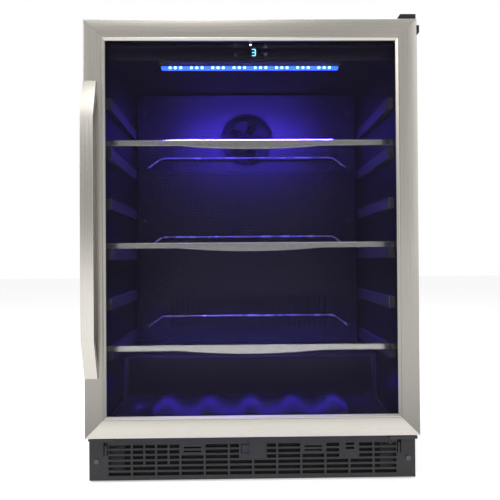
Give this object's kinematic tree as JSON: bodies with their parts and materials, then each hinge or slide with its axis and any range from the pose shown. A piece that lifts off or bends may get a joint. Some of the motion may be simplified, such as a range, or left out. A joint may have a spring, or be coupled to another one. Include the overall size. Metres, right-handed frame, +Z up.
{
  "type": "wine cooler",
  "caption": "Under-counter wine cooler with a steel-framed glass door, glass shelves, blue interior light and a slotted kick grille.",
  "frame": {"origin": "on the floor, under the middle of the whole object's width and depth", "axes": "+X to the right seen from the front, +Y to the back, +Z up; the door faces -Y"},
  "size_m": [0.6015, 0.612, 0.842],
  "materials": {
    "black_steel": "satin",
    "galvanised_steel": "satin",
    "liner_plastic": "satin",
    "foam": "matte",
    "dark_plastic": "satin",
    "machine_plastic": "matte",
    "fin_aluminium": "satin",
    "condenser_black": "satin",
    "window_gloss": "gloss",
    "lamp_body": "gloss",
    "lamp_lens": "gloss",
    "kick_paint": "satin",
    "screw_steel": "satin",
    "compressor_black": "gloss",
    "rubber": "matte",
    "copper": "satin",
    "foot_steel": "matte",
    "stainless": "satin",
    "bright_wire": "polished",
    "tinted_glass": "gloss",
    "spacer_black": "matte",
    "bush_plastic": "satin",
    "shelf_glass": "gloss"
  },
  "bodies": {
    "cabinet": {"side_panel_left": "black_steel", "side_panel_right": "black_steel", "top_panel": "black_steel", "rear_panel": "galvanised_steel", "front_frame": "black_steel", "inner_liner": "liner_plastic", "foam_insulation": "foam", "shelf_ledges_left": "dark_plastic", "shelf_ledges_right": "dark_plastic", "bottle_cradle": "dark_plastic", "evaporator_cover": "dark_plastic", "fan_grille": "dark_plastic", "evaporator_coil": "fin_aluminium", "evaporator_fan_motor": "machine_plastic", "sensor_cover": "dark_plastic", "control_panel": "dark_plastic", "display_window": "window_gloss", "led_housing": "lamp_body", "led_lens": "lamp_lens", "base_pan": "galvanised_steel", "kick_grille": "kick_paint", "kick_plate": "kick_paint", "panel_screws": "screw_steel", "compressor": "compressor_black", "compressor_mounts": "rubber", "condenser_coil": "condenser_black", "condenser_fan_motor": "machine_plastic", "drip_tray": "machine_plastic", "refrigerant_pipes": "copper", "mains_inlet": "machine_plastic", "electronics_box": "machine_plastic", "hinge_bracket_lower": "black_steel", "hinge_bracket_upper": "black_steel", "hinge_cap": "dark_plastic", "blanking_plate": "dark_plastic"},
    "door": {"door_frame": "stainless", "door_glass_outer": "tinted_glass", "door_glass_inner": "tinted_glass", "glass_spacer": "spacer_black", "door_gasket": "rubber", "hinge_bushes": "bush_plastic", "door_handle": "stainless", "handle_screws": "screw_steel", "door_side_cap": "dark_plastic"},
    "shelf_1": {"glass_shelf_1": "shelf_glass", "shelf_trim_1": "stainless", "shelf_wire_1": "bright_wire"},
    "shelf_2": {"glass_shelf_2": "shelf_glass", "shelf_trim_2": "stainless", "shelf_wire_2": "bright_wire"},
    "shelf_3": {"glass_shelf_3": "shelf_glass", "shelf_trim_3": "stainless", "shelf_wire_3": "bright_wire"},
    "evaporator_rotor": {"evaporator_fan": "machine_plastic"},
    "condenser_rotor": {"condenser_fan": "machine_plastic"},
    "levelling_front_left": {"foot_front_left": "foot_steel"},
    "levelling_front_right": {"foot_front_right": "foot_steel"},
    "levelling_rear_left": {"foot_rear_left": "foot_steel"},
    "levelling_rear_right": {"foot_rear_right": "foot_steel"}
  },
  "joints": [
    {"name": "door_hinge", "type": "hinge", "parent": "cabinet", "child": "door", "pos_m": [0.285, -0.247, 0.46], "axis": [0, 0, 1], "range_deg": [0, 110]},
    {"name": "shelf_1_slide", "type": "slide", "parent": "cabinet", "child": "shelf_1", "axis": [0, -1, 0], "range_m": [0, 0.011]},
    {"name": "shelf_2_slide", "type": "slide", "parent": "cabinet", "child": "shelf_2", "axis": [0, -1, 0], "range_m": [0, 0.011]},
    {"name": "shelf_3_slide", "type": "slide", "parent": "cabinet", "child": "shelf_3", "axis": [0, -1, 0], "range_m": [0, 0.011]},
    {"name": "evaporator_fan_spin", "type": "hinge", "parent": "cabinet", "child": "evaporator_rotor", "pos_m": [0, 0.209, 0.6947], "axis": [0, 1, 0], "continuous": true},
    {"name": "condenser_fan_spin", "type": "hinge", "parent": "cabinet", "child": "condenser_rotor", "pos_m": [-0.09, 0.074, 0.086], "axis": [0, 1, 0], "continuous": true},
    {"name": "foot_front_left_screw", "type": "slide", "parent": "cabinet", "child": "levelling_front_left", "axis": [0, 0, -1], "range_m": [0, 0.02]},
    {"name": "foot_front_right_screw", "type": "slide", "parent": "cabinet", "child": "levelling_front_right", "axis": [0, 0, -1], "range_m": [0, 0.02]},
    {"name": "foot_rear_left_screw", "type": "slide", "parent": "cabinet", "child": "levelling_rear_left", "axis": [0, 0, -1], "range_m": [0, 0.02]},
    {"name": "foot_rear_right_screw", "type": "slide", "parent": "cabinet", "child": "levelling_rear_right", "axis": [0, 0, -1], "range_m": [0, 0.02]}
  ]
}
